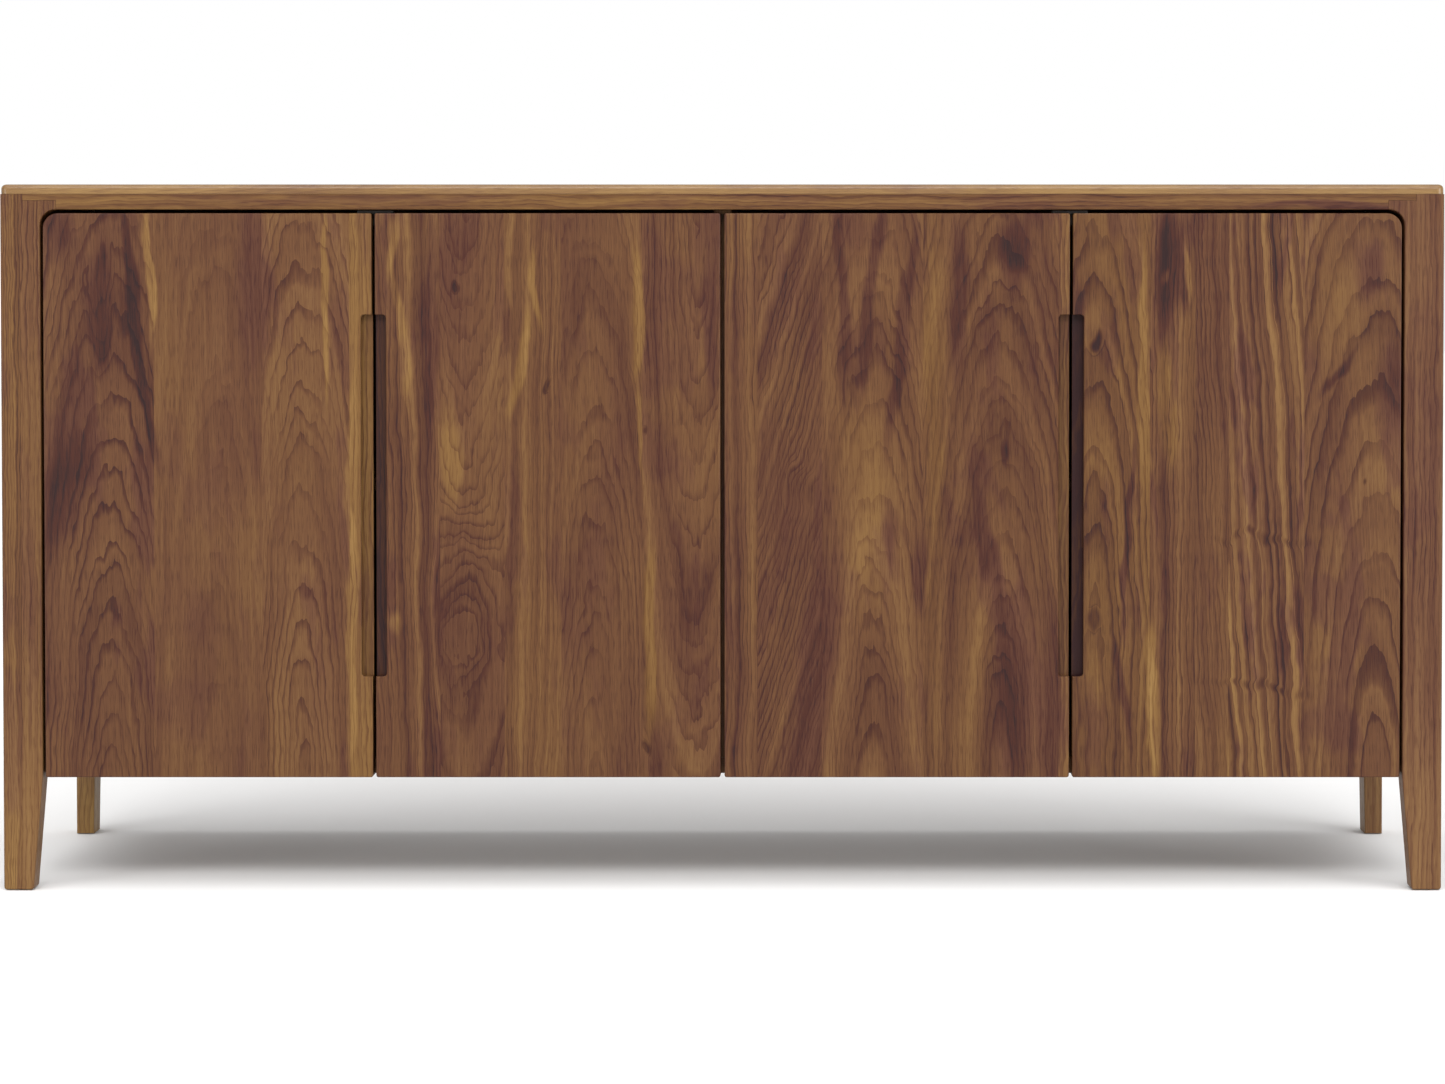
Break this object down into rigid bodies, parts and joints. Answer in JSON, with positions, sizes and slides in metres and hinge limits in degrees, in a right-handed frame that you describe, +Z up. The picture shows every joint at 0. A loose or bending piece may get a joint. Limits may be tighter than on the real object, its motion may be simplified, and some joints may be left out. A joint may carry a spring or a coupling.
{
  "type": "sideboard buffet",
  "caption": "Low walnut sideboard with flush swing doors, routed finger grips, a centre partition, adjustable shelves and square legs.",
  "frame": {"origin": "on the floor, under the middle of the case", "axes": "+X along the width to the right of someone who faces the doors, +Y from the doors to the back, +Z up"},
  "size_m": [1.829, 0.47, 0.898],
  "materials": {
    "walnut_top": "oiled walnut, warm golden brown, grain along the width",
    "walnut_frame": "oiled walnut, mid brown, grain upright",
    "walnut_doors": "oiled walnut, glued from planks with varied figure",
    "walnut_inside": "walnut, plain, unseen faces",
    "steel": "dark bronzed steel",
    "plastic": "dark brown moulded plastic",
    "felt": "brown felt"
  },
  "bodies": {
    "case": {"front_rail": "walnut_top", "front_leg_left": "walnut_frame", "glide_front_left": "felt", "front_leg_right": "walnut_frame", "glide_front_right": "felt", "top_panel": "walnut_top", "back_rail": "walnut_inside", "back_leg_left": "walnut_frame", "glide_back_left": "felt", "back_leg_right": "walnut_frame", "glide_back_right": "felt", "side_panel_left": "walnut_frame", "hinge_cleat_left": "walnut_inside", "back_panel_left": "walnut_inside", "side_panel_right": "walnut_frame", "hinge_cleat_right": "walnut_inside", "back_panel_right": "walnut_inside", "bottom_panel": "walnut_frame", "centre_partition": "walnut_frame", "shelf_left": "walnut_frame", "shelf_pin_left_inner_front": "steel", "shelf_pin_left_inner_back": "steel", "shelf_pin_left_outer_front": "steel", "shelf_pin_left_outer_back": "steel", "shelf_right": "walnut_frame", "shelf_pin_right_inner_front": "steel", "shelf_pin_right_inner_back": "steel", "shelf_pin_right_outer_front": "steel", "shelf_pin_right_outer_back": "steel", "hinge_arm_outer_left_low": "steel", "hinge_arm_outer_left_high": "steel", "hinge_arm_inner_left_low": "steel", "hinge_arm_inner_left_high": "steel", "hinge_arm_outer_right_low": "steel", "hinge_arm_outer_right_high": "steel", "hinge_arm_inner_right_low": "steel", "hinge_arm_inner_right_high": "steel", "catch_left": "plastic", "catch_right": "plastic"},
    "door_outer_left": {"door_outer_left": "walnut_doors", "hinge_pin_outer_left_low": "steel", "hinge_pin_outer_left_high": "steel", "strike_outer_left": "steel"},
    "door_inner_left": {"door_inner_left": "walnut_doors", "hinge_pin_inner_left_low": "steel", "hinge_pin_inner_left_high": "steel", "strike_inner_left": "steel"},
    "door_inner_right": {"door_inner_right": "walnut_doors", "hinge_pin_inner_right_low": "steel", "hinge_pin_inner_right_high": "steel", "strike_inner_right": "steel"},
    "door_outer_right": {"door_outer_right": "walnut_doors", "hinge_pin_outer_right_low": "steel", "hinge_pin_outer_right_high": "steel", "strike_outer_right": "steel"}
  },
  "joints": [
    {"name": "door_outer_left_hinge", "type": "hinge", "parent": "case", "child": "door_outer_left", "pos_m": [-0.845, -0.223, 0.503], "axis": [0, 0, -1], "range_deg": [0, 90]},
    {"name": "door_inner_left_hinge", "type": "hinge", "parent": "case", "child": "door_inner_left", "pos_m": [-0.01, -0.227, 0.503], "axis": [0, 0, 1], "range_deg": [0, 90]},
    {"name": "door_inner_right_hinge", "type": "hinge", "parent": "case", "child": "door_inner_right", "pos_m": [0.01, -0.227, 0.503], "axis": [0, 0, -1], "range_deg": [0, 90]},
    {"name": "door_outer_right_hinge", "type": "hinge", "parent": "case", "child": "door_outer_right", "pos_m": [0.845, -0.223, 0.503], "axis": [0, 0, 1], "range_deg": [0, 90]}
  ]
}
